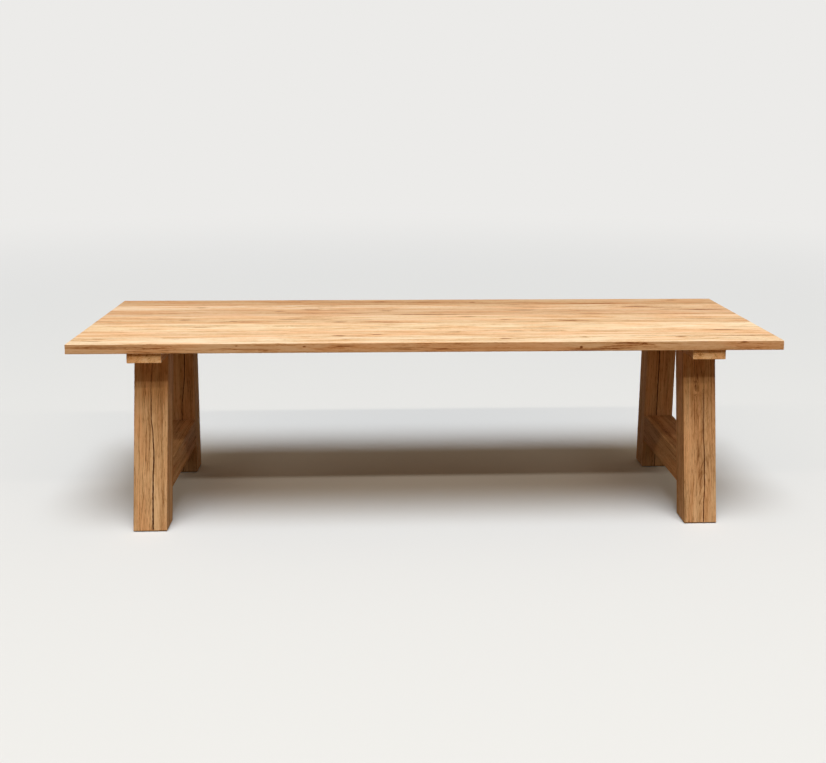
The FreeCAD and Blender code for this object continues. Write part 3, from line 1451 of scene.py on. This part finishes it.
@dataclass(frozen=True, kw_only=True)
class SoftLamp(Lamp):
    """A round lamp whose light comes from one direction, as from far away.

    Attributes:
        width: the angle that it fills, in degrees. A wide lamp has soft shadows.
    """

    width: float

    def build(self) -> None:
        """Adds the lamp."""
        lamp = self.hang("SUN", Vector())
        lamp.data.energy = math.pi * self.level
        lamp.data.angle = math.radians(self.width)


@dataclass(frozen=True, kw_only=True)
class StripLamp(Lamp):
    """A long lamp along the front edge of the table.

    Edges that run along the lamp cast sharp shadows, and edges that run across it cast soft ones.

    Attributes:
        size: its length and its width.
    """

    size: Pair

    def build(self) -> None:
        """Adds the lamp, which the eye never sees."""
        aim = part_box(TableTop.node(1))[0]
        lamp = self.hang("AREA", Vector((0.0, aim.y, aim.z)))
        lamp.visible_camera = False
        lamp.data.shape = "RECTANGLE"
        lamp.data.size, lamp.data.size_y = self.size
        # What a strip sends to a face at its middle falls with the distance, and less so for a long strip
        half = self.size[0] / 2
        reach = half / (self.distance**2 + half**2) + math.atan(half / self.distance) / self.distance
        lamp.data.energy = math.pi**2 * self.level * self.size[0] / reach


@dataclass(frozen=True)
class PaleStudio:
    """A plain pale floor that runs into a pale backdrop, under soft lamps and a weak even fill.

    The floor is pale to the eye, and returns as little light as concrete does, so that the underside of
    the table stays in shade.

    Attributes:
        floor_seen: colour of the floor to the eye.
        floor_bounce: colour of the light that it returns.
        backdrop: colour of the backdrop.
        fill: colour of the fill.
        zenith: strength of the fill from above.
        horizon: strength of the fill from the sides.
        lamps: the lamps.
        floor_radius: radius of the floor.
        floor_sides: how many sides its outline has.
        floor_fades: distances from the table over which the floor turns into the backdrop.
    """

    floor_seen: str = "#DFE0E1"
    floor_bounce: str = "#725B42"
    backdrop: str = "#ECEBE9"
    fill: str = "#FFE2BE"
    zenith: float = 0.32
    horizon: float = 0.03
    lamps: tuple[StripLamp | SoftLamp, ...] = (
        StripLamp(
            name="edge_lamp", elevation=45.5, distance=9.0, level=0.30, colour="#FFF1DA", size=(26.0, 0.30)
        ),
        SoftLamp(
            name="overhead_lamp", elevation=68.0, distance=5.0, level=0.88, colour="#F1F9FF", width=34.0
        ),
    )
    floor_radius: float = 60.0
    floor_sides: int = 128
    floor_fades: Pair = (3.5, 14.0)

    @staticmethod
    def to_the_eye(graph: Graph) -> bpy.types.Node:
        """Adds nodes that tell what the eye sees from what only lights the table.

        Args:
            graph: the graph that they join.

        Returns:
            A node that is one for the eye, for reflections and through glass, and zero for other light.
        """
        path = graph.add("LightPath").outputs
        seen = graph.add("Math", path["Is Camera Ray"], path["Is Glossy Ray"], operation="ADD")
        return graph.add("Math", seen, path["Is Transmission Ray"], operation="ADD", use_clamp=True)

    def floor(self) -> None:
        """Adds the floor."""
        clear_selection()
        bpy.ops.mesh.primitive_circle_add(
            vertices=self.floor_sides, radius=self.floor_radius, fill_type="NGON"
        )
        floor = settle("studio_floor")
        material, g = new_material("matt_floor_paint")
        seen = self.to_the_eye(g)
        colours = {"A": linear(self.floor_bounce), "B": linear(self.floor_seen)}
        colour = g.add("Mix", {"Factor": seen, **colours}, data_type="RGBA")
        paint = g.add("BsdfDiffuse", colour)
        glow = g.add("Emission", linear(self.backdrop))
        away = g.add("VectorMath", g.add("TexCoord").outputs["Object"], operation="LENGTH")
        fade = g.add("MapRange", away, *self.floor_fades, **SMOOTH)
        share = g.add("Math", fade, seen, operation="MULTIPLY")
        g.add("OutputMaterial", g.add("MixShader", share, paint, glow))
        floor.data.materials.append(material)

    def sky(self) -> None:
        """Lights the scene evenly from all round, and more from above."""
        world = bpy.data.worlds.new("studio")
        bpy.context.scene.world = world
        world.use_nodes = True
        g = Graph(world.node_tree)
        height = g.add("SeparateXYZ", g.add("TexCoord").outputs["Generated"]).outputs["Z"]
        level = g.add("MapRange", height, 0.0, 1.0, self.horizon, self.zenith)
        light = g.add("Background", linear(self.fill), level)
        view = g.add("Background", linear(self.backdrop))
        g.add("OutputWorld", g.add("MixShader", self.to_the_eye(g), light, view))

    def build(self) -> None:
        """Builds the floor and the lights."""
        self.floor()
        self.sky()
        for lamp in self.lamps:
            lamp.build()


@dataclass(frozen=True)
class Camera:
    """The camera, in front of the table and a little to the left of its middle.

    Attributes:
        place: where it stands.
        yaw: how far it turns to the right, in radians.
        pitch: how far it looks down, in degrees.
        roll: how far it leans, in radians.
        focal_px: focal length in pixels.
        axis_px: where the optical axis meets the picture, in pixels from its left and from its top.
        frame_px: width and height of the picture in pixels.
        sensor: width of the sensor in millimetres.
    """

    place: Triple = (-0.2019, -4.7165, 1.6479)
    yaw: float = 0.0560
    pitch: float = 5.0
    roll: float = 0.0056
    focal_px: float = 1102.1
    axis_px: Pair = (440.5, 212.1)
    frame_px: tuple[int, int] = (826, 763)
    sensor: float = 36.0

    def build(self) -> None:
        """Adds the camera and makes it the scene's own."""
        clear_selection()
        level = Matrix.Rotation(math.pi / 2 - math.radians(self.pitch), 3, "X")
        turn = Matrix.Rotation(-self.yaw, 3, "Z") @ level @ Matrix.Rotation(self.roll, 3, "Z")
        bpy.ops.object.camera_add(location=self.place, rotation=turn.to_euler())
        camera = bpy.context.object
        width, height = self.frame_px
        camera.data.sensor_width = self.sensor
        camera.data.lens = self.focal_px * self.sensor / width
        across, down = self.axis_px
        camera.data.shift_x = (width / 2 - across) / width
        camera.data.shift_y = (down - height / 2) / width
        bpy.context.scene.camera = camera


# The timber of each piece

BOARDS = (
    Timber(
        Sawing.FLAT,
        3.1,
        tint="#F9F6F3",
        # Paler towards the front: a painted highlight along the front edge of the top
        fade=(-0.16, 0.06),
        contrast=1.35,
        knots=(
            Knot(300, 10, 5, stretch=3, tail=60, dark=0.6),
            Knot(620, 30, 6, lift=9.0, dark=0.6),
            Knot(1010, 30, 4, stretch=3, tail=120, dark=0.7),
            Knot(-1225, -60, 9, stretch=16, tail=40, dark=0.4, lift=4.0, through=5, reach=3.5),
            Knot(-680, -60, 9, stretch=7, tail=40, dark=0.3, through=-4, reach=3),
            Knot(-330, -60, 9, stretch=4, tail=60, dark=0.3, lift=7.0, through=8, reach=4),
            Knot(590, -60, 6, stretch=0.5, tail=2, dark=1.0, through=-2, reach=2),
            Knot(840, -60, 8, stretch=0.8, tail=15, dark=0.4, lift=7.0, through=9, reach=2.5),
            Knot(872, -60, 6, stretch=1, tail=10, dark=0.4, through=5, reach=1.5),
            Knot(-490, -60, 6, stretch=0.6, tail=2, through=6, reach=1.5),
            Knot(-750, -60, 6, stretch=0.6, tail=2, through=9, reach=1.5),
            Knot(1240, -60, 6, stretch=1.2, tail=20, dark=0.5, through=14, reach=1.8),
        ),
    ),
    Timber(
        Sawing.RIFT,
        9.7,
        tint="#F9F1EC",
        knots=(
            Knot(500, 35, 8, stretch=5, dark=0.35, lift=12.0),
            Knot(-210, -25, 4, stretch=5, dark=0.7),
            Knot(110, 25, 10, dark=0.25, lift=9.0),
            Knot(360, 35, 3, stretch=7, tail=20),
            Knot(1220, 39, 5, stretch=9, dark=0.6),
            Knot(-360, -41, 4, stretch=4),
        ),
    ),
    Timber(Sawing.FLAT, 14.2, flip=True, knots=(Knot(-620, 20, 8, stretch=3, dark=0.15, lift=12.0),)),
    Timber(
        Sawing.FLAT,
        21.9,
        tint="#F2EAE4",
        fade=(0.14, -0.10),
        knots=(
            Knot(190, 53, 9, stretch=3.5, tail=300, dark=0.35, lift=10.0),
            Knot(-820, -33, 5, stretch=3, dark=0.6),
            Knot(-1030, -1, 4, stretch=4, dark=0.6),
            Knot(-370, -61, 5, stretch=3, dark=0.7),
            Knot(340, -27, 4, stretch=4, dark=0.6),
            Knot(620, -47, 5, stretch=5, dark=0.6),
        ),
    ),
    Timber(
        Sawing.RIFT,
        27.4,
        tint="#E3D4CA",
        knots=(
            Knot(-166, 40, 5, stretch=4, dark=0.7),
            Knot(-650, 40, 5, stretch=4, dark=0.5),
            Knot(460, 44, 5, stretch=10, dark=0.4),
            Knot(1280, 44, 5, stretch=12, dark=0.5),
        ),
    ),
    Timber(
        Sawing.FLAT,
        33.8,
        tint="#F1EAE8",
        knots=(
            Knot(-1010, 10, 12, dark=0.35, lift=9.0),
            Knot(-510, -50, 3, stretch=8, tail=20, dark=1.0),
            Knot(1000, 0, 6, stretch=6, dark=0.7),
        ),
    ),
    Timber(
        Sawing.RIFT,
        39.5,
        flip=True,
        tint="#D8C8BA",
        knots=(
            Knot(-190, 15, 5, stretch=2),
            Knot(240, -5, 5, stretch=2),
            Knot(1200, 35, 6, stretch=3, dark=0.5),
        ),
    ),
)

LEFT_FRONT_CHECK = DryingCheck(
    End.FRONT,
    ((7, 0), (0, 110), (1, 240), (9, 320), (13, 400), (10, 480), (11, 690)),
    (1.8, 6.5),
    45.0,
    seed=1,
)
RIGHT_FRONT_CHECK = DryingCheck(
    End.FRONT,
    ((15, 150), (17, 240), (15, 340), (19.5, 420), (19, 550), (14, 620), (13, 690)),
    (2.2, 4.0),
    45.0,
    seed=2,
)
RIGHT_SHORT_CHECK = DryingCheck(End.FRONT, ((-21, 0), (-19, 80), (-15, 150)), (2.2, 0.6), 18.0, seed=3)

LEGS = {
    (Side.LEFT, End.FRONT): (
        Timber(
            Sawing.HEART,
            51.0,
            tint="#F6F0EA",
            contrast=1.25,
            knots=(
                Knot(60, 8, 24, stretch=6, dark=0.0, bend=0.1, lift=12.0),
                Knot(-150, -26, 14, stretch=9, dark=0.0, bend=0.1, lift=5.0),
            ),
        ),
        (LEFT_FRONT_CHECK,),
    ),
    (Side.LEFT, End.BACK): (
        Timber(Sawing.HEART, 57.3, flip=True),
        (DryingCheck(End.FRONT, ((33, 0), (24, 200), (6, 400), (4, 690)), (4.0, 2.5), 40.0, seed=4),),
    ),
    (Side.RIGHT, End.FRONT): (
        Timber(
            Sawing.HEART,
            63.2,
            tint="#F3EDE8",
            contrast=1.25,
            knots=(
                Knot(195, -14, 5, stretch=2.2, tail=40, dark=0.4, lift=10.0),
                Knot(30, -6, 20, stretch=7, dark=0.0, bend=0.1, lift=11.0),
            ),
        ),
        (RIGHT_SHORT_CHECK, RIGHT_FRONT_CHECK),
    ),
    (Side.RIGHT, End.BACK): (
        Timber(Sawing.HEART, 69.9, flip=True),
        (DryingCheck(End.FRONT, ((-12, 0), (-9, 200), (-10, 420), (-6, 690)), (4.5, 3.0), 40.0, seed=5),),
    ),
}


# The rail and the cleat of each trestle
CROSS_TIMBERS = {
    Side.LEFT: (
        Timber(Sawing.RIFT, 75.0, tint="#E6DCD0"),
        Timber(Sawing.FLAT, 78.0, end_grain="#FFEBD2"),
    ),
    Side.RIGHT: (
        Timber(Sawing.RIFT, 81.0, tint="#E6DCD0"),
        Timber(Sawing.FLAT, 84.0, end_grain="#FFEBD2"),
    ),
}


def dress_cad_nodes(frame: dict[str, Any], dressings: dict[str, bpy.types.Material]) -> None:
    """Gives the CAD nodes that stay their materials.

    Args:
        dressings: the material of each of those nodes.
    """
    for name, material in dressings.items():
        mesh = frame["nodes"][name].data
        mesh.materials.clear()
        mesh.materials.append(material)
        log.info("%s keeps its CAD shape in %s", name, material.name)


def main() -> None:
    """Loads the frame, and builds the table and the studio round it."""
    logging.basicConfig(level=logging.INFO, format="%(name)s: %(message)s")
    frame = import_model()
    Camera().build()
    PaleStudio().build()
    top_shop, trestle_shop = OakShop(LIT_TOP_OAK), OakShop(SHADED_LEG_OAK)
    shaded_split_oak, zinc = SHADED_SPLIT_OAK.material(), ZINC_PLATE.material()
    TableTop(BOARDS, top_shop).build()
    for (side, end), (timber, checks) in LEGS.items():
        Leg(side, end, timber, checks).build(trestle_shop, shaded_split_oak)
    for side, (rail_timber, cleat_timber) in CROSS_TIMBERS.items():
        CrossPieces(side, rail_timber, cleat_timber).build(trestle_shop, top_shop)
    Fixings().build(zinc)
    plywood, felt = Plywood().material(), WOOL_FELT.material()
    dress_cad_nodes(frame, {"loose_tongues": plywood, "threaded_inserts": zinc, "felt_pads": felt})
    bpy.context.scene.view_settings.view_transform = "Standard"


if __name__ == "__main__":
    main()
